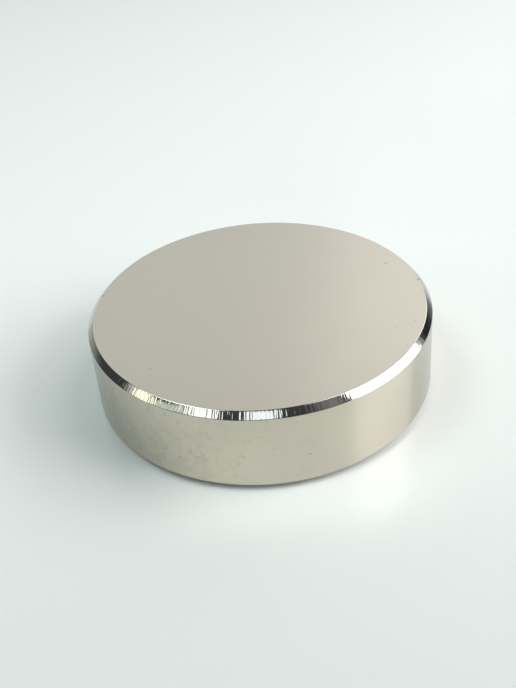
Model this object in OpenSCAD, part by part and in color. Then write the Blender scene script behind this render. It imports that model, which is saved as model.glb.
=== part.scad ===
// Sintered disc magnet with a plated skin. It is one solid piece: a disc ground flat
// on both pole faces and round on its wall, with the same chamfer ground on both rims.
// The origin is the centre of the lower pole face, and +Z is the axis of the disc.

/* [Disc] */
// Outside diameter of the disc
disc_d = 60; // [20:0.5:120]
// Thickness from one pole face to the other
disc_t = 15; // [6:0.5:60]

/* [Rims] */
// Height of each chamfer, measured along the wall
chamfer_h = 1; // [0.3:0.05:2.5]
// Angle between a chamfer and its pole face
chamfer_angle = 45; // [30:1:60]
// Radius that rolls a chamfer into the pole face and into the wall
edge_r = 0.15; // [0.05:0.05:0.3]

/* [Hidden] */
plating = "#D0CABD";
wall_r = disc_d / 2;
// How far a chamfer reaches in over its pole face
chamfer_w = chamfer_h / tan(chamfer_angle);
// A rolled edge starts this far before the sharp corner that it replaces
face_roll = edge_r * tan(chamfer_angle / 2);
wall_roll = edge_r * tan((90 - chamfer_angle) / 2);
// Centres of a rim's two rolled edges, from the corner where pole face and wall would meet
face_edge = [-chamfer_w - face_roll, edge_r];
wall_edge = [-edge_r, chamfer_h + wall_roll];
// From such a centre to its point on the chamfer, square to the chamfer
to_chamfer = edge_r * [sin(chamfer_angle), -cos(chamfer_angle)];
// Sides of the drawn circles: the turned disc, and the rolled edges in its section
turn_sides = 240;
edge_sides = 48;

// Half section of the lower rim, with the disc behind it from the axis to half its height
module rim_section() {
    translate([wall_r, 0]) {
        polygon([
            [-wall_r, 0],
            [face_edge.x, 0],
            face_edge + to_chamfer,
            wall_edge + to_chamfer,
            [0, wall_edge.y],
            [0, disc_t / 2],
            [-wall_r, disc_t / 2]
        ]);
        for (centre = [face_edge, wall_edge])
            translate(centre)
                circle(r = edge_r, $fn = edge_sides);
    }
}

// Half section of the whole disc: the two rims meet at the middle of the wall
module disc_section() {
    rim_section();
    translate([0, disc_t])
        mirror([0, 1])
            rim_section();
}

module magnet() {
    color(plating)
        rotate_extrude($fn = turn_sides)
            disc_section();
}

magnet();
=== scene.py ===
"""Looks of a nickel-plated disc magnet, photographed from above at a slant on a pale board."""
import logging
import math
from dataclasses import dataclass, field
from enum import Enum
from typing import Any

import bmesh
import bpy
from mathutils import Matrix, Vector, noise


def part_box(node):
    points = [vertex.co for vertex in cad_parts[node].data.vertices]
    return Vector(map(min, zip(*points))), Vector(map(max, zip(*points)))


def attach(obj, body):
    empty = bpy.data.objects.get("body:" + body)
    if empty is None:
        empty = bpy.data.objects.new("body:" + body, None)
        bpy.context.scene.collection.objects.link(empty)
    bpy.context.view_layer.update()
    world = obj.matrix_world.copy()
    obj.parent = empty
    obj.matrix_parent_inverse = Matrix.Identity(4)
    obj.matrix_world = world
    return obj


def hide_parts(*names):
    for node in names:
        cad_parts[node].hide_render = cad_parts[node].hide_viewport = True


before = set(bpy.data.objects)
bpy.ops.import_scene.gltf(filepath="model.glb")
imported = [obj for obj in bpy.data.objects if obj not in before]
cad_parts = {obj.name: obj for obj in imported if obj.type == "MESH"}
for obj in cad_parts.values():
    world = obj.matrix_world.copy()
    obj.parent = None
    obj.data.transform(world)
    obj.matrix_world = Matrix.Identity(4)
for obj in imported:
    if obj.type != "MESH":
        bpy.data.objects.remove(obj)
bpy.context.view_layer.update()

LOG = logging.getLogger("disc_magnet")
NODE = "magnet"

# One millimetre in Blender's metres, and how near two heights in mm count as the same.
MM = 0.001
TOUCH = 1e-6

# How far a face's normal leans upwards: a pole face more than FLAT, the wall less than UPRIGHT.
FLAT = 0.999
UPRIGHT = 0.05

# The values of a noise pattern that count as its lowest and highest, for clouds and for patches.
CLOUD_SPAN = (0.3, 0.7)
PATCH_SPAN = (0.47, 0.62)

# The part of a mark's reach that has its full depth.
MARK_CORE = 0.3

# Veins lie where the noise crosses VEIN_LEVEL, within VEIN_WIDTH of it, and come in groups that
# are VEIN_GROUP times as broad as their own loops.
VEIN_GROUP = 1.7
VEIN_LEVEL = 0.53
VEIN_WIDTH = 0.04

# How many finer layers each noise pattern has.
CLOUD_DETAIL = 3.0
LINE_DETAIL = 2.0
WAVE_DETAIL = 1.0

SMOOTH = {"interpolation_type": "SMOOTHSTEP"}


class Zone(Enum):
    """The surfaces of the magnet that are finished in different ways, as material slots."""

    POLE_FACE = 0
    WALL = 1
    CHAMFER = 2


def linear(hex_colour: str) -> tuple[float, float, float, float]:
    """Turn an sRGB hex colour into Blender's linear colour.

    Args:
        hex_colour: six hex digits after a hash sign.

    Returns:
        Red, green, blue and an alpha of 1, in linear light.
    """
    parts = [int(hex_colour[i : i + 2], 16) / 255 for i in (1, 3, 5)]
    red, green, blue = (c / 12.92 if c <= 0.04045 else ((c + 0.055) / 1.055) ** 2.4 for c in parts)
    return red, green, blue, 1.0


def add_node(
    tree: bpy.types.NodeTree,
    kind: str,
    settings: dict[str, Any] | None = None,
    inputs: dict[str | int, Any] | None = None,
) -> bpy.types.Node:
    """Add a node with its settings, values and links.

    Args:
        tree: the node tree that the node goes into.
        kind: Blender's type name of the node.
        settings: properties of the node, by name.
        inputs: values or output sockets for the node's inputs, by name or place.

    Returns:
        The new node.
    """
    node = tree.nodes.new(kind)
    for name, value in (settings or {}).items():
        setattr(node, name, value)
    for name, value in (inputs or {}).items():
        if isinstance(value, bpy.types.NodeSocket):
            tree.links.new(value, node.inputs[name])
        else:
            node.inputs[name].default_value = value
    return node


def new_material(name: str) -> tuple[bpy.types.Material, bpy.types.NodeTree]:
    """Make an empty node material.

    Args:
        name: the material's name.

    Returns:
        The material and its cleared node tree.
    """
    material = bpy.data.materials.new(name)
    material.use_nodes = True
    material.node_tree.nodes.clear()
    return material, material.node_tree


@dataclass(frozen=True)
class StainAndShade:
    """A mark in the plating's colour: a speck of dirt, a hair, a cloud of tarnish, or painted shade.

    Its place and reach are in mm. A mark with a broken_mm has patches of about that size in
    its outline, and one without is a round spot. A veined mark shows only its patches' rims,
    as a dried drop does. Small spots in a row make a hair.
    """

    x: float
    y: float
    z: float
    reach: float
    depth: float
    colour: str = "#5E5C50"
    broken_mm: float = 0.0
    veined: bool = False


@dataclass(frozen=True)
class NickelFinish:
    """Electroplated nickel over ground metal: a warm grey mirror that the grinding makes satin.

    The finer the ground surface under the plating, the sharper it reflects. Grinding lines
    smear a reflection across them, slow waves bend it, and clouding gives faint patches that
    are duller than the rest. The edge tint holds it back at a flat angle, as nickel does.

    Real grinding lines lie a few hundredths of a millimetre apart, which is too fine to show,
    so line_mm draws them coarser. It says how far apart they lie along X, Y and Z: they run the
    way of a large number, and three equal numbers make an even grain.
    """

    name: str
    colour: str = "#D4CDC0"
    edge_tint: str = "#E9EDF2"
    roughness: float = 0.3
    roughness_spread: float = 0.02
    cloud_mm: float = 7.0
    line_mm: tuple[float, float, float] = (0.12, 0.12, 0.12)
    line_height_mm: float = 0.0005
    wave_mm: float = 6.0
    wave_height_mm: float = 0.002
    stains_and_shade: tuple[StainAndShade, ...] = ()

    def material(self) -> bpy.types.Material:
        """Build the finish as a node material.

        Returns:
            The material, ready to assign.
        """
        material, tree = new_material(self.name)
        place = add_node(tree, "ShaderNodeTexCoord").outputs["Object"]
        cloud = self._noise(tree, place, (self.cloud_mm,) * 3, CLOUD_DETAIL)
        roughness = add_node(
            tree,
            "ShaderNodeMapRange",
            inputs={
                "Value": cloud,
                "From Min": CLOUD_SPAN[0],
                "From Max": CLOUD_SPAN[1],
                "To Min": self.roughness - self.roughness_spread,
                "To Max": self.roughness + self.roughness_spread,
            },
        ).outputs["Result"]
        shader = add_node(
            tree,
            "ShaderNodeBsdfPrincipled",
            inputs={
                "Base Color": linear(self.colour),
                "Specular Tint": linear(self.edge_tint),
                "Metallic": 1.0,
                "Roughness": roughness,
                "Normal": self._relief(tree, place),
            },
        )
        if self.stains_and_shade:
            tree.links.new(self._with_stains_and_shade(tree, place), shader.inputs["Base Color"])
        add_node(tree, "ShaderNodeOutputMaterial", inputs={"Surface": shader.outputs["BSDF"]})
        return material

    @staticmethod
    def _noise(
        tree: bpy.types.NodeTree,
        place: bpy.types.NodeSocket,
        size_mm: tuple[float, ...],
        detail: float,
    ) -> bpy.types.NodeSocket:
        """Add a noise pattern with features of a real size.

        Args:
            tree: the node tree.
            place: the object coordinates, in metres.
            size_mm: about how far apart the pattern's features lie along X, Y and Z.
            detail: how many finer layers the pattern has.

        Returns:
            The pattern's value, from 0 to 1.
        """
        scale = tuple(1 / (size * MM) for size in size_mm)
        spot = add_node(
            tree, "ShaderNodeVectorMath", {"operation": "MULTIPLY"}, {0: place, 1: scale}
        ).outputs["Vector"]
        inputs = {"Vector": spot, "Scale": 1.0, "Detail": detail}
        return add_node(tree, "ShaderNodeTexNoise", {"noise_dimensions": "3D"}, inputs).outputs["Fac"]

    def _relief(self, tree: bpy.types.NodeTree, place: bpy.types.NodeSocket) -> bpy.types.NodeSocket:
        """Lay the fine grinding lines over the slow waves of the surface.

        Args:
            tree: the node tree.
            place: the object coordinates, in metres.

        Returns:
            The surface's normal.
        """
        wave = self._noise(tree, place, (self.wave_mm,) * 3, WAVE_DETAIL)
        lines = self._noise(tree, place, self.line_mm, LINE_DETAIL)
        normal = add_node(
            tree,
            "ShaderNodeBump",
            inputs={"Height": wave, "Distance": self.wave_height_mm * MM, "Strength": 1.0},
        ).outputs["Normal"]
        return add_node(
            tree,
            "ShaderNodeBump",
            inputs={
                "Height": lines,
                "Distance": self.line_height_mm * MM,
                "Strength": 1.0,
                "Normal": normal,
            },
        ).outputs["Normal"]

    def _with_stains_and_shade(
        self, tree: bpy.types.NodeTree, place: bpy.types.NodeSocket
    ) -> bpy.types.NodeSocket:
        """Lay the stains and painted shade over the nickel's colour, one after another.

        Args:
            tree: the node tree.
            place: the object coordinates, in metres.

        Returns:
            The colour with the stains and painted shade on it.
        """
        colour: Any = linear(self.colour)
        for mark in self.stains_and_shade:
            centre = (mark.x * MM, mark.y * MM, mark.z * MM)
            apart = add_node(
                tree, "ShaderNodeVectorMath", {"operation": "DISTANCE"}, {0: place, 1: centre}
            ).outputs["Value"]
            share = add_node(
                tree,
                "ShaderNodeMapRange",
                SMOOTH,
                {
                    "Value": apart,
                    "From Min": mark.reach * MM,
                    "From Max": mark.reach * MM * MARK_CORE,
                    "To Max": mark.depth,
                },
            ).outputs["Result"]
            if mark.broken_mm:
                patches = self._patches(tree, place, mark)
                share = add_node(
                    tree, "ShaderNodeMath", {"operation": "MULTIPLY"}, {0: share, 1: patches}
                ).outputs["Value"]
            colour = add_node(
                tree,
                "ShaderNodeMix",
                {"data_type": "RGBA"},
                {"Factor": share, "A": colour, "B": linear(mark.colour)},
            ).outputs[2]
        return colour

    def _patches(
        self, tree: bpy.types.NodeTree, place: bpy.types.NodeSocket, mark: StainAndShade
    ) -> bpy.types.NodeSocket:
        """Break a mark up into patches, or into the rims of patches.

        Args:
            tree: the node tree.
            place: the object coordinates, in metres.
            mark: the mark to break up.

        Returns:
            How much of the stain shows at a place, from 0 to 1.
        """
        patch_size = mark.broken_mm * (VEIN_GROUP if mark.veined else 1)
        patches = add_node(
            tree,
            "ShaderNodeMapRange",
            SMOOTH,
            {
                "Value": self._noise(tree, place, (patch_size,) * 3, CLOUD_DETAIL),
                "From Min": PATCH_SPAN[0],
                "From Max": PATCH_SPAN[1],
            },
        ).outputs["Result"]
        if not mark.veined:
            return patches
        value = self._noise(tree, place, (mark.broken_mm,) * 3, CLOUD_DETAIL)
        level = add_node(
            tree, "ShaderNodeMath", {"operation": "SUBTRACT"}, {0: value, 1: VEIN_LEVEL}
        ).outputs["Value"]
        off_vein = add_node(
            tree, "ShaderNodeMath", {"operation": "ABSOLUTE"}, {0: level}
        ).outputs["Value"]
        veins = add_node(
            tree,
            "ShaderNodeMapRange",
            SMOOTH,
            {"Value": off_vein, "From Min": VEIN_WIDTH, "From Max": 0.0},
        ).outputs["Result"]
        return add_node(
            tree, "ShaderNodeMath", {"operation": "MULTIPLY"}, {0: patches, 1: veins}
        ).outputs["Value"]


@dataclass(frozen=True)
class Nick:
    """A small dent in the upper rim, with sizes in mm and its place as an angle in degrees."""

    azimuth: float
    radius: float
    depth: float


@dataclass
class Magnet:
    """The disc itself: one turned solid with a ground chamfer on both rims.

    Sizes are in mm and angles in degrees. The turn is fine enough for chatter marks under half
    a millimetre apart. Each chamfer is cut by rings that are crowded to its edges, and each
    pole face is a narrow land round a core of broad faces.

    The chatter has a pitch round the rim and a length across the chamfer. Its rise is how
    steeply it sets in from an edge. A finer chatter lies over it, by a share of its height and
    a ratio of its pitch. The calm share of it is left on the far side, and a high focus keeps
    the worst of it to one place.
    """

    diameter: float
    thickness: float
    chamfer_h: float = 1.0
    chamfer_angle: float = 45.0
    edge_r: float = 0.15

    turn_steps: int = 3000
    edge_steps: int = 3
    chamfer_cuts: int = 5
    ring_crowding: int = 2
    wall_guard: float = 0.03
    rim_land: float = 1.0
    core_r: float = 20.0
    core_steps: int = 72

    crown: float = 0.009
    chatter_pitch: float = 0.44
    chatter_length: float = 1.2
    chatter_height: float = 0.015
    chatter_rise: float = 6.0
    chatter_fine_share: float = 0.45
    chatter_fine_ratio: float = 2.0
    chatter_calm: float = 0.45
    chatter_focus: int = 4
    chatter_azimuth: float = -110.0

    nicks: tuple[Nick, ...] = ()
    finishes: dict[Zone, NickelFinish] = field(default_factory=dict)

    @property
    def wall_r(self) -> float:
        """Radius of the wall."""
        return self.diameter / 2

    @property
    def chamfer_w(self) -> float:
        """How far a chamfer reaches in over its pole face."""
        return self.chamfer_h / math.tan(math.radians(self.chamfer_angle))

    @property
    def edge_offset(self) -> float:
        """How far a rolled edge reaches over the surfaces that it joins."""
        return self.edge_r * math.tan(math.radians(self.chamfer_angle) / 2)

    def build(self) -> bpy.types.Object:
        """Turn, roll, grind, dent and dress the disc.

        Returns:
            The finished object, with its place in its mesh.
        """
        mesh = bmesh.new()
        self._turn(mesh)
        self._roll_edges(mesh)
        self._ring_chamfers(mesh)
        self._ring_wall(mesh)
        self._fill_faces(mesh)
        self._mark_zones(mesh)
        self._grind_chatter(mesh)
        self._dent_rim(mesh)
        bmesh.ops.recalc_face_normals(mesh, faces=mesh.faces[:])
        bmesh.ops.scale(mesh, vec=Vector((MM, MM, MM)), verts=mesh.verts[:])
        data = bpy.data.meshes.new("plated_disc")
        mesh.to_mesh(data)
        mesh.free()
        for zone in Zone:
            data.materials.append(self.finishes[zone].material())
        piece = bpy.data.objects.new("plated_disc", data)
        bpy.context.scene.collection.objects.link(piece)
        return piece

    def _turn(self, mesh: bmesh.types.BMesh) -> None:
        """Spin the sharp-cornered section into the wall and chamfers, and close both pole faces.

        Args:
            mesh: the empty mesh to fill.
        """
        face_r = self.wall_r - self.chamfer_w
        section = [
            (face_r, 0.0),
            (self.wall_r, self.chamfer_h),
            (self.wall_r, self.thickness - self.chamfer_h),
            (face_r, self.thickness),
        ]
        points = [mesh.verts.new((r, 0.0, z)) for r, z in section]
        edges = [mesh.edges.new(pair) for pair in zip(points, points[1:])]
        bmesh.ops.spin(
            mesh,
            geom=points + edges,
            axis=(0, 0, 1),
            cent=(0, 0, 0),
            angle=math.tau,
            steps=self.turn_steps,
            use_merge=True,
        )
        for height in (0.0, self.thickness):
            rim = [
                e
                for e in mesh.edges
                if e.is_boundary and all(abs(v.co.z - height) < TOUCH for v in e.verts)
            ]
            bmesh.ops.contextual_create(mesh, geom=rim)

    def _roll_edges(self, mesh: bmesh.types.BMesh) -> None:
        """Round the four sharp circles to the edge radius.

        Args:
            mesh: the turned mesh.
        """
        level = [e for e in mesh.edges if abs(e.verts[0].co.z - e.verts[1].co.z) < TOUCH]
        bmesh.ops.bevel(
            mesh,
            geom=level,
            affect="EDGES",
            offset_type="OFFSET",
            offset=self.edge_offset,
            segments=self.edge_steps,
            profile=0.5,
            material=-1,
            clamp_overlap=True,
        )

    @staticmethod
    def _cut_rings(
        mesh: bmesh.types.BMesh, shortest: float, longest: float, cuts: int
    ) -> list[bmesh.types.BMVert]:
        """Cut evenly spaced rings across every edge whose height lies between two lengths.

        Args:
            mesh: the mesh with rolled edges.
            shortest: the least height of such an edge.
            longest: the greatest height of such an edge.
            cuts: how many rings to cut.

        Returns:
            The points of the new rings.
        """
        across = [
            e for e in mesh.edges if shortest < abs(e.verts[0].co.z - e.verts[1].co.z) < longest
        ]
        cut = bmesh.ops.subdivide_edges(mesh, edges=across, cuts=cuts, use_grid_fill=True)
        return [part for part in cut["geom_inner"] if isinstance(part, bmesh.types.BMVert)]

    def _ring_chamfers(self, mesh: bmesh.types.BMesh) -> None:
        """Cut rings round both chamfers, crowded to their edges so that the shading turns only there.

        Args:
            mesh: the mesh with rolled edges.
        """
        slope = math.radians(self.chamfer_angle)
        start = self.edge_offset * math.sin(slope)
        span = self.chamfer_h - 2 * start
        rings = self._cut_rings(mesh, span / 2, self.chamfer_h, self.chamfer_cuts)
        for vert in rings:
            side = 1 if vert.co.z > self.thickness / 2 else -1
            depth = self.thickness - vert.co.z if side > 0 else vert.co.z
            share = (depth - start) / span
            for _ in range(self.ring_crowding):
                share = (1 - math.cos(math.pi * share)) / 2
            slide = start + span * share - depth
            out = Vector((vert.co.x, vert.co.y, 0)).normalized()
            vert.co += out * (slide / math.tan(slope)) - Vector((0, 0, side * slide))

    def _ring_wall(self, mesh: bmesh.types.BMesh) -> None:
        """Cut a ring close to each end of the wall, so that its shading stays flat between them.

        Args:
            mesh: the mesh with rolled edges.
        """
        low = self.chamfer_h + self.edge_offset + self.wall_guard
        for vert in self._cut_rings(mesh, self.thickness / 2, self.thickness, 2):
            vert.co.z = low if vert.co.z < self.thickness / 2 else self.thickness - low

    def _fill_faces(self, mesh: bmesh.types.BMesh) -> None:
        """Lay a narrow land inside each rim, and a core of broad faces inside the land.

        Args:
            mesh: the mesh with rolled edges.
        """
        caps = [f for f in mesh.faces if len(f.verts) == self.turn_steps]
        bmesh.ops.inset_region(mesh, faces=caps, thickness=self.rim_land, depth=0.0)
        for cap in caps:
            height = cap.verts[0].co.z
            outer = list(cap.edges)
            bmesh.ops.delete(mesh, geom=[cap], context="FACES_ONLY")
            core = bmesh.ops.create_circle(
                mesh,
                cap_ends=True,
                segments=self.core_steps,
                radius=self.core_r,
                matrix=Matrix.Translation((0, 0, height)),
            )["verts"]
            inner = list(core[0].link_faces[0].edges)
            bmesh.ops.bridge_loops(mesh, edges=outer + inner)

    def _mark_zones(self, mesh: bmesh.types.BMesh) -> None:
        """Give each face the finish of its zone, and shade all but the pole faces smoothly.

        Args:
            mesh: the mesh with rolled edges.
        """
        mesh.normal_update()
        for face in mesh.faces:
            upwards = abs(face.normal.z)
            face.smooth = upwards < FLAT
            if upwards > FLAT:
                face.material_index = Zone.POLE_FACE.value
            elif upwards < UPRIGHT:
                face.material_index = Zone.WALL.value
            else:
                face.material_index = Zone.CHAMFER.value

    def _grind_chatter(self, mesh: bmesh.types.BMesh) -> None:
        """Crown both chamfers a little and press the grinding wheel's chatter marks into them.

        The marks run across the chamfer, and they fade out over its rolled edges. They are
        deepest at one azimuth and calm on the far side. A mark and the gap beside it take two
        cells of the noise.

        Args:
            mesh: the mesh with its zones marked.
        """
        slope = math.radians(self.chamfer_angle)
        cell = self.chatter_pitch / 2
        worst = math.radians(self.chatter_azimuth)
        for vert in mesh.verts:
            side = 1 if vert.co.z > self.thickness / 2 else -1
            depth = self.thickness - vert.co.z if side > 0 else vert.co.z
            out = Vector((vert.co.x, vert.co.y, 0))
            if not 0.0 < depth < self.chamfer_h or out.length > self.wall_r - TOUCH:
                continue
            across = depth / self.chamfer_h
            fade = max(0.0, min(1.0, self.chatter_rise * across, self.chatter_rise * (1 - across)))
            spot = out.normalized() * (self.wall_r / cell)
            spot.z = depth / self.chatter_length + side * self.thickness
            facing = max(0.0, math.cos(math.atan2(vert.co.y, vert.co.x) - worst))
            share = self.chatter_calm + (1 - self.chatter_calm) * facing**self.chatter_focus
            bulge = self.crown * (1 - (2 * across - 1) ** 2)
            fine = noise.noise(self.chatter_fine_ratio * spot)
            marks = noise.noise(spot) + self.chatter_fine_share * fine
            normal = out.normalized() * math.sin(slope) + Vector((0, 0, side * math.cos(slope)))
            vert.co += normal * (marks * self.chatter_height * share * fade + bulge)

    def _dent_rim(self, mesh: bmesh.types.BMesh) -> None:
        """Push the nicks into the edge of the upper pole face.

        Args:
            mesh: the mesh with its chatter.
        """
        for nick in self.nicks:
            angle = math.radians(nick.azimuth)
            edge_r = self.wall_r - self.chamfer_w
            centre = Vector((edge_r * math.cos(angle), edge_r * math.sin(angle), self.thickness))
            for vert in mesh.verts:
                apart = (vert.co - centre).length / nick.radius
                if apart < 1:
                    vert.co.z -= nick.depth * (1 - apart**2) ** 2


@dataclass(frozen=True)
class SoftBox:
    """A soft studio panel that faces the magnet. It is placed by the direction that it shines from.

    Angles are in degrees: azimuth counts from +X towards +Y. The panel's radiance is what a
    white card in its place would show, so 1 is paper white. A panel that isn't mirrored only
    fills shadows, and the metal doesn't show it.
    """

    name: str
    azimuth: float
    elevation: float
    wide: float
    high: float
    radiance: float
    colour: str = "#FFFFFF"
    distance: float = 0.8
    turn: float = 0.0
    mirrored: bool = True

    def hang(self, target: Vector) -> bpy.types.Object:
        """Hang the panel so that it faces a point.

        Args:
            target: the point that the panel faces.

        Returns:
            The light.
        """
        azimuth, elevation = math.radians(self.azimuth), math.radians(self.elevation)
        towards = Vector((
            math.cos(azimuth) * math.cos(elevation),
            math.sin(azimuth) * math.cos(elevation),
            math.sin(elevation),
        ))
        lamp = bpy.data.lights.new(self.name, "AREA")
        lamp.shape = "RECTANGLE"
        lamp.size = 2 * self.distance * math.tan(math.radians(self.wide) / 2)
        lamp.size_y = 2 * self.distance * math.tan(math.radians(self.high) / 2)
        lamp.color = linear(self.colour)[:3]
        lamp.energy = self.radiance * math.pi * lamp.size * lamp.size_y
        light = bpy.data.objects.new(self.name, lamp)
        light.visible_camera = False
        light.visible_glossy = self.mirrored
        light.location = target + towards * self.distance
        turn = Matrix.Rotation(math.radians(self.turn), 3, "Z")
        light.rotation_euler = (towards.to_track_quat("Z", "Y").to_matrix() @ turn).to_euler()
        bpy.context.scene.collection.objects.link(light)
        return light


@dataclass(frozen=True)
class BoardGlow:
    """A soft pool of light on the board in front of the magnet, which the metal doesn't mirror.

    Its centre, height and radius are in mm. Its level is what a white card would show there,
    and its stretch widens it along X.
    """

    x: float
    y: float
    height: float
    radius: float
    level: float
    stretch: float = 1.0

    def hang(self) -> bpy.types.Object:
        """Hang the lamp straight above the pool.

        Returns:
            The light.
        """
        lamp = bpy.data.lights.new("board_glow", "SPOT")
        lamp.spot_size = 2 * math.atan(self.radius / self.height)
        lamp.spot_blend = 1.0
        lamp.shadow_soft_size = self.radius / 2 * MM
        # A lamp's power is spread over the whole sphere round it that touches the board.
        sphere = 4 * math.pi * (self.height * MM) ** 2
        lamp.energy = self.level * math.pi * sphere
        light = bpy.data.objects.new("board_glow", lamp)
        light.visible_camera = False
        light.visible_glossy = False
        light.location = Vector((self.x, self.y, self.height)) * MM
        light.scale.x = self.stretch
        bpy.context.scene.collection.objects.link(light)
        return light


@dataclass(frozen=True)
class Room:
    """The room round the table: pale near the horizon and beyond the magnet, dark overhead.

    The camera, the metal and the table all see the same room. It is painted by direction. The
    horizon span is the height, as a share, over which it darkens upwards, and the beyond span
    is how far a direction points past the magnet, as a share, when it turns pale again.
    """

    pale: str = "#E6EAE8"
    dark: str = "#404443"
    horizon: tuple[float, float] = (0.04, 0.10)
    beyond: tuple[float, float] = (0.5, 0.75)

    def paint(self) -> None:
        """Paint the room into the scene's world."""
        world = bpy.data.worlds.new("room")
        world.use_nodes = True
        tree = world.node_tree
        tree.nodes.clear()
        look = add_node(tree, "ShaderNodeTexCoord").outputs["Generated"]
        split = add_node(tree, "ShaderNodeSeparateXYZ", inputs={"Vector": look})
        pale_end, dark_start = self.horizon
        high = add_node(
            tree,
            "ShaderNodeMapRange",
            SMOOTH,
            {"Value": split.outputs["Z"], "From Min": pale_end, "From Max": dark_start},
        ).outputs["Result"]
        dark_end, pale_start = self.beyond
        near = add_node(
            tree,
            "ShaderNodeMapRange",
            SMOOTH,
            {"Value": split.outputs["Y"], "From Min": pale_start, "From Max": dark_end},
        ).outputs["Result"]
        share = add_node(
            tree, "ShaderNodeMath", {"operation": "MULTIPLY"}, {0: high, 1: near}
        ).outputs["Value"]
        pale, dark = (
            add_node(tree, "ShaderNodeBackground", inputs={"Color": linear(colour)}).outputs[0]
            for colour in (self.pale, self.dark)
        )
        shader = add_node(
            tree, "ShaderNodeMixShader", inputs={0: share, 1: pale, 2: dark}
        ).outputs["Shader"]
        add_node(tree, "ShaderNodeOutputWorld", inputs={"Surface": shader})
        bpy.context.scene.world = world


@dataclass(frozen=True)
class Board:
    """The pale painted board that the magnet lies on. Sizes are in mm.

    Painted shade greys it a little on the near side, and it shades evenly into the pale far side.
    A broad patch of painted shade beyond the magnet on the right greys it a little too.
    """

    radius: float = 4000.0
    # The painted shade on the near side is full at near_y and gone by far_y.
    near_y: float = -90.0
    near_painted_shade: str = "#DBDEDB"
    far_y: float = 40.0
    far_colour: str = "#F3F6F3"
    # A broad patch of painted shade beyond the magnet on the right.
    shade_patch_place: tuple[float, float, float] = (85.0, 38.0, 0.0)
    shade_patch_reach: float = 120.0
    shade_patch_depth: float = 0.1
    shade_patch_colour: str = "#6E6C66"
    roughness: float = 0.2
    rim_steps: int = 128

    def lay(self) -> bpy.types.Object:
        """Lay the board under the magnet.

        Returns:
            The board.
        """
        mesh = bmesh.new()
        bmesh.ops.create_circle(mesh, cap_ends=True, segments=self.rim_steps, radius=self.radius * MM)
        data = bpy.data.meshes.new("board")
        mesh.to_mesh(data)
        mesh.free()
        data.materials.append(self._paint())
        board = bpy.data.objects.new("board", data)
        bpy.context.scene.collection.objects.link(board)
        return board

    def _paint(self) -> bpy.types.Material:
        """Mix the board's satin paint, with its painted shade.

        Returns:
            The material.
        """
        material, tree = new_material("satin white paint")
        place = add_node(tree, "ShaderNodeTexCoord").outputs["Object"]
        # Painted shade: the colour greys towards the near side.
        across = add_node(tree, "ShaderNodeSeparateXYZ", inputs={"Vector": place}).outputs["Y"]
        share = add_node(
            tree,
            "ShaderNodeMapRange",
            inputs={"Value": across, "From Min": self.near_y * MM, "From Max": self.far_y * MM},
        ).outputs["Result"]
        colour = add_node(
            tree,
            "ShaderNodeMix",
            {"data_type": "RGBA"},
            {"Factor": share, "A": linear(self.near_painted_shade), "B": linear(self.far_colour)},
        ).outputs[2]
        # Painted shade: a broad greyer patch beyond the magnet on the right.
        centre = tuple(length * MM for length in self.shade_patch_place)
        apart = add_node(
            tree, "ShaderNodeVectorMath", {"operation": "DISTANCE"}, {0: place, 1: centre}
        ).outputs["Value"]
        shade_patch = add_node(
            tree,
            "ShaderNodeMapRange",
            SMOOTH,
            {
                "Value": apart,
                "From Min": self.shade_patch_reach * MM,
                "From Max": 0.0,
                "To Max": self.shade_patch_depth,
            },
        ).outputs["Result"]
        colour = add_node(
            tree,
            "ShaderNodeMix",
            {"data_type": "RGBA"},
            {"Factor": shade_patch, "A": colour, "B": linear(self.shade_patch_colour)},
        ).outputs[2]
        shader = add_node(
            tree,
            "ShaderNodeBsdfPrincipled",
            inputs={"Base Color": colour, "Roughness": self.roughness},
        ).outputs["BSDF"]
        add_node(tree, "ShaderNodeOutputMaterial", inputs={"Surface": shader})
        return material


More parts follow.
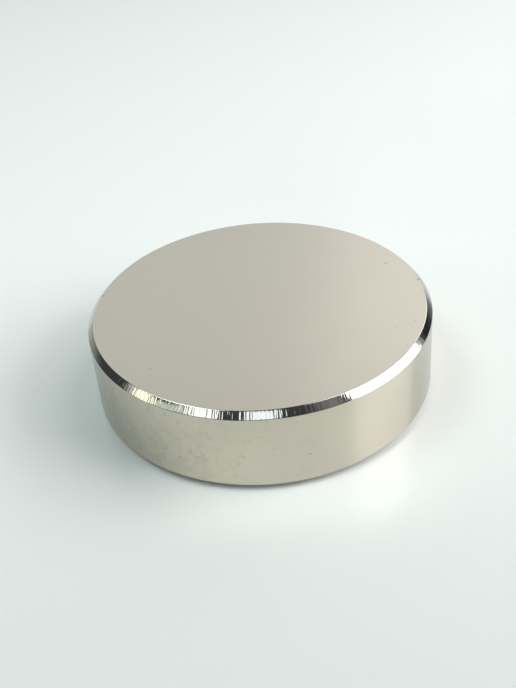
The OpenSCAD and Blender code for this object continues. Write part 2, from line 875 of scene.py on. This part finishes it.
@dataclass(frozen=True)
class SideCard:
    """A dark card that stands on the board beside the magnet, for the metal's reflections only.

    Lengths are in mm and the azimuth, from +X towards +Y, is in degrees. The card is a painted
    reflection: it glows with painted light, pale at its foot as if the board lit it and dark
    higher up, as its shades say by height. It shows only in what lies further off than its clear
    distance, such as the magnet, and not in the board at its foot.
    """

    name: str
    azimuth: float
    distance: float
    wide: float
    high: float
    shades: tuple[tuple[float, str], ...]
    clear: float = 65.0
    solid: float = 95.0

    def stand(self) -> bpy.types.Object:
        """Stand the card up beside the magnet.

        Returns:
            The card.
        """
        mesh = bmesh.new()
        # The grid's size is half its side, so this is a unit square.
        bmesh.ops.create_grid(mesh, x_segments=1, y_segments=1, size=0.5)
        bmesh.ops.scale(mesh, vec=(self.high * MM, self.wide * MM, 1), verts=mesh.verts[:])
        upright = Matrix.Rotation(math.pi / 2, 3, "Y")
        bmesh.ops.rotate(mesh, matrix=upright, verts=mesh.verts[:])
        place = Vector((self.distance * MM, 0, self.high * MM / 2))
        bmesh.ops.translate(mesh, vec=place, verts=mesh.verts[:])
        turn = Matrix.Rotation(math.radians(self.azimuth), 3, "Z")
        bmesh.ops.rotate(mesh, matrix=turn, verts=mesh.verts[:])
        data = bpy.data.meshes.new(self.name)
        mesh.to_mesh(data)
        mesh.free()
        data.materials.append(self._shade())
        card = bpy.data.objects.new(self.name, data)
        card.visible_camera = False
        card.visible_diffuse = False
        card.visible_shadow = False
        card.visible_transmission = False
        bpy.context.scene.collection.objects.link(card)
        return card

    def _shade(self) -> bpy.types.Material:
        """Paint the card's glow, from its pale foot to its dark top, and clear it close by.

        Returns:
            The material.
        """
        material, tree = new_material("painted reflection card")
        place = add_node(tree, "ShaderNodeTexCoord").outputs["Object"]
        height = add_node(tree, "ShaderNodeSeparateXYZ", inputs={"Vector": place}).outputs["Z"]
        share = add_node(
            tree, "ShaderNodeMapRange", inputs={"Value": height, "From Max": self.high * MM}
        ).outputs["Result"]
        ramp = add_node(tree, "ShaderNodeValToRGB", inputs={"Fac": share})
        # The ramp's own two stops go, one of them last because a ramp is never without a stop.
        stops = ramp.color_ramp.elements
        stops.remove(stops[-1])
        for level, colour in self.shades:
            stops.new(level / self.high).color = linear(colour)
        stops.remove(stops[0])
        # Painted light: the card glows in its shades instead of being lit.
        glow = add_node(tree, "ShaderNodeEmission", inputs={"Color": ramp.outputs["Color"]})
        far = add_node(tree, "ShaderNodeLightPath").outputs["Ray Length"]
        shown = add_node(
            tree,
            "ShaderNodeMapRange",
            SMOOTH,
            {"Value": far, "From Min": self.clear * MM, "From Max": self.solid * MM},
        ).outputs["Result"]
        nothing = add_node(tree, "ShaderNodeBsdfTransparent").outputs["BSDF"]
        shader = add_node(
            tree, "ShaderNodeMixShader", inputs={0: shown, 1: nothing, 2: glow.outputs["Emission"]}
        ).outputs["Shader"]
        add_node(tree, "ShaderNodeOutputMaterial", inputs={"Surface": shader})
        return material


@dataclass(frozen=True)
class PhotoCamera:
    """The camera at the photograph's viewing angle, as fitted to the disc's outlines.

    Lengths are in mm and angles in degrees. The photograph is taken as 516 by 688, and its
    optical axis meets the picture at axis_row, above the middle, which the shift gives.
    """

    back: float = 126.52
    height: float = 98.40
    pan: float = -0.209
    tilt: float = 30.64
    roll: float = -4.69
    lens: float = 45.09
    sensor: float = 36.0
    picture_height: int = 688
    axis_row: int = 260
    clip_near: float = 1.0
    clip_far: float = 10000.0

    def mount(self) -> bpy.types.Object:
        """Set the camera up and make it the scene's own.

        Returns:
            The camera.
        """
        data = bpy.data.cameras.new("photo_camera")
        data.lens = self.lens
        data.sensor_width = self.sensor
        data.shift_y = (self.axis_row - self.picture_height / 2) / self.picture_height
        data.clip_start = self.clip_near * MM
        data.clip_end = self.clip_far * MM
        camera = bpy.data.objects.new("photo_camera", data)
        camera.location = (0.0, -self.back * MM, self.height * MM)
        aim = (
            Matrix.Rotation(math.radians(self.pan), 3, "Z")
            @ Matrix.Rotation(math.radians(90 - self.tilt), 3, "X")
            @ Matrix.Rotation(math.radians(self.roll), 3, "Z")
        )
        camera.rotation_euler = aim.to_euler()
        bpy.context.scene.collection.objects.link(camera)
        bpy.context.scene.camera = camera
        return camera


# The pool of light at the magnet's near foot.
BOARD_GLOW = BoardGlow(x=3, y=-25, height=250, radius=18, level=0.34, stretch=1.5)

# Glowing cards beyond the magnet at both sides, a painted reflection for its chamfers' dark
# stretches.
SIDE_CARDS = (
    SideCard(
        "card_right",
        azimuth=30,
        distance=135,
        wide=70,
        high=39,
        shades=(
            (0.5, "#B0B5AE"),
            (5.6, "#9FA39D"),
            (6.8, "#7E8280"),
            (15.4, "#747876"),
            (17.2, "#4C4F50"),
            (23.0, "#3C3F41"),
            (31.0, "#2B2C31"),
        ),
    ),
    SideCard(
        "card_left",
        azimuth=150,
        distance=130,
        wide=80,
        high=40,
        shades=((0.5, "#C8D2CC"), (36.0, "#404441")),
    ),
)

# The windows, lamps and pale walls that the metal mirrors, by where they stand. The ceiling
# panels give the pole face its glow, and the fill panel lightens the shadow at the left.
SOFT_BOXES = (
    SoftBox("window_right_top", azimuth=-6, elevation=40, wide=42, high=16, radiance=5.6),
    SoftBox("window_right", azimuth=-10.5, elevation=21, wide=53, high=22, radiance=4.6),
    SoftBox("window_frame", azimuth=19, elevation=14, wide=5, high=12, radiance=0.45),
    SoftBox("room_right", azimuth=-46, elevation=43, wide=10, high=12, radiance=0.18, turn=-15),
    SoftBox("room_front", azimuth=-57, elevation=45, wide=8, high=12, radiance=0.07, turn=-15),
    SoftBox(
        "window_front", azimuth=-94.8, elevation=47.8, wide=15.8, high=7,
        radiance=1.55, colour="#EEFAFF",
    ),
    SoftBox(
        "window_left", azimuth=-135.2, elevation=42.5, wide=15.4, high=7,
        radiance=1.65, colour="#F6FFFA", turn=17,
    ),
    SoftBox(
        "garden_left", azimuth=-156, elevation=34.4, wide=16.5, high=6,
        radiance=0.8, colour="#EFFFEA", turn=24,
    ),
    SoftBox(
        "lamp_left", azimuth=-171.7, elevation=29.3, wide=8.6, high=8,
        radiance=2.2, colour="#FCFFDC", turn=28,
    ),
    SoftBox("lamp_edge", azimuth=-180, elevation=26, wide=5, high=8, radiance=0.7, turn=28),
    SoftBox(
        "fill_left", azimuth=-158, elevation=32, wide=20, high=10,
        radiance=1.9, mirrored=False,
    ),
    SoftBox("window_back", azimuth=45, elevation=32, wide=22, high=26, radiance=1.4),
    SoftBox("window_back_low", azimuth=70, elevation=34, wide=22, high=26, radiance=0.4),
    SoftBox(
        "ceiling_left", azimuth=180, elevation=62, wide=40, high=25,
        radiance=3.2, colour="#EBFCFF",
    ),
    SoftBox("ceiling_right", azimuth=0, elevation=65, wide=40, high=22, radiance=2.05),
)

# Specks on the upper pole face, a short hair made of four of them, and painted shade in the two
# nicks.
FACE_STAINS_AND_SHADE = (
    StainAndShade(-18.11, -16.75, 15, reach=0.38, depth=0.25),
    StainAndShade(25.56, -9.79, 15, reach=0.3, depth=0.22),
    StainAndShade(22.33, -11.05, 15, reach=0.28, depth=0.18),
    StainAndShade(19.22, -4.64, 15, reach=0.3, depth=0.06),
    StainAndShade(20.1, -9.57, 15, reach=0.3, depth=0.08),
    StainAndShade(23.8, 9.15, 15, reach=0.16, depth=0.7),
    StainAndShade(23.92, 9.3, 15, reach=0.16, depth=0.7),
    StainAndShade(24.08, 9.4, 15, reach=0.16, depth=0.7),
    StainAndShade(24.26, 9.42, 15, reach=0.16, depth=0.7),
    # Painted shade: a dark dot in each nick.
    StainAndShade(28.85, 2.93, 15, reach=0.38, depth=0.6),
    StainAndShade(-28.33, 6.18, 15, reach=0.38, depth=0.75),
)

# The same painted shade in the nicks, where it reaches over the chamfer.
CHAMFER_NICK_SHADE = (
    # Painted shade in the nicks.
    StainAndShade(28.95, 2.94, 15, reach=0.4, depth=0.6),
    StainAndShade(-28.43, 6.2, 15, reach=0.35, depth=0.5),
)

# A greyer cloud at the foot of the wall's front, a cloud of tarnish, dried drops that left veins,
# a pale rubbed place at the left and a pink dot.
WALL_MARKS = (
    # Greyer towards the foot of the wall's front.
    StainAndShade(5.2, -29.5, 0, reach=14, depth=0.3, colour="#AAA7A3"),
    StainAndShade(-14, -26.5, 5, reach=15, depth=0.12, colour="#8C8A74", broken_mm=1.8),
    StainAndShade(-4, -29.7, 3, reach=19, depth=0.22, colour="#7D7B68", broken_mm=2.2, veined=True),
    StainAndShade(-17, -24.7, 6, reach=14, depth=0.22, colour="#7D7B68", broken_mm=1.6, veined=True),
    StainAndShade(-25, -16.6, 8, reach=8, depth=0.35, colour="#E9E6DC", broken_mm=1.6),
    StainAndShade(5.83, -29.43, 6.1, reach=0.3, depth=0.5, colour="#A07A70"),
)


def magnet_of(low: Vector, high: Vector) -> Magnet:
    """Describe the magnet that fills the frame's box.

    Args:
        low: the box's lowest corner, in metres.
        high: the box's highest corner, in metres.

    Returns:
        The magnet, with its finishes, chatter and marks.
    """
    return Magnet(
        diameter=(high.x - low.x) / MM,
        thickness=(high.z - low.z) / MM,
        nicks=(
            Nick(azimuth=5.8, radius=0.3, depth=0.05),
            Nick(azimuth=167.7, radius=0.25, depth=0.04),
        ),
        finishes={
            # Lapped flat: an even satin with no direction, which shows the ceiling as one glow.
            Zone.POLE_FACE: NickelFinish(
                "satin nickel pole face",
                roughness_spread=0.012,
                line_mm=(0.3, 0.3, 0.3),
                line_height_mm=0.0002,
                stains_and_shade=FACE_STAINS_AND_SHADE,
            ),
            # Ground finer, with lines up the wall: a soft mirror, smeared sideways.
            Zone.WALL: NickelFinish(
                "satin nickel wall",
                colour="#D3CBBB",
                roughness=0.2,
                line_mm=(0.2, 0.2, 3.0),
                line_height_mm=0.001,
                wave_mm=5.0,
                stains_and_shade=WALL_MARKS,
            ),
            # Cut last with a fine wheel: almost a mirror, so its chatter flickers black and white.
            Zone.CHAMFER: NickelFinish(
                "bright nickel chamfer",
                colour="#D6D1CC",
                roughness=0.08,
                roughness_spread=0.01,
                stains_and_shade=CHAMFER_NICK_SHADE,
            ),
        },
    )


def main() -> None:
    """Set the camera and studio up, build the magnet and put it in the frame."""
    logging.basicConfig(level=logging.INFO)
    bpy.context.scene.view_settings.view_transform = "Standard"
    PhotoCamera().mount()
    Room().paint()
    Board().lay()
    for card in SIDE_CARDS:
        card.stand()
        LOG.info("stood %s", card.name)
    BOARD_GLOW.hang()
    low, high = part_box(NODE)
    centre = (low + high) / 2
    for box in SOFT_BOXES:
        box.hang(centre)
        LOG.info("hung %s", box.name)
    piece = magnet_of(low, high).build()
    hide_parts(NODE)
    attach(piece, "root")
    LOG.info("%s has %d faces", piece.name, len(piece.data.polygons))


if __name__ == "__main__":
    main()
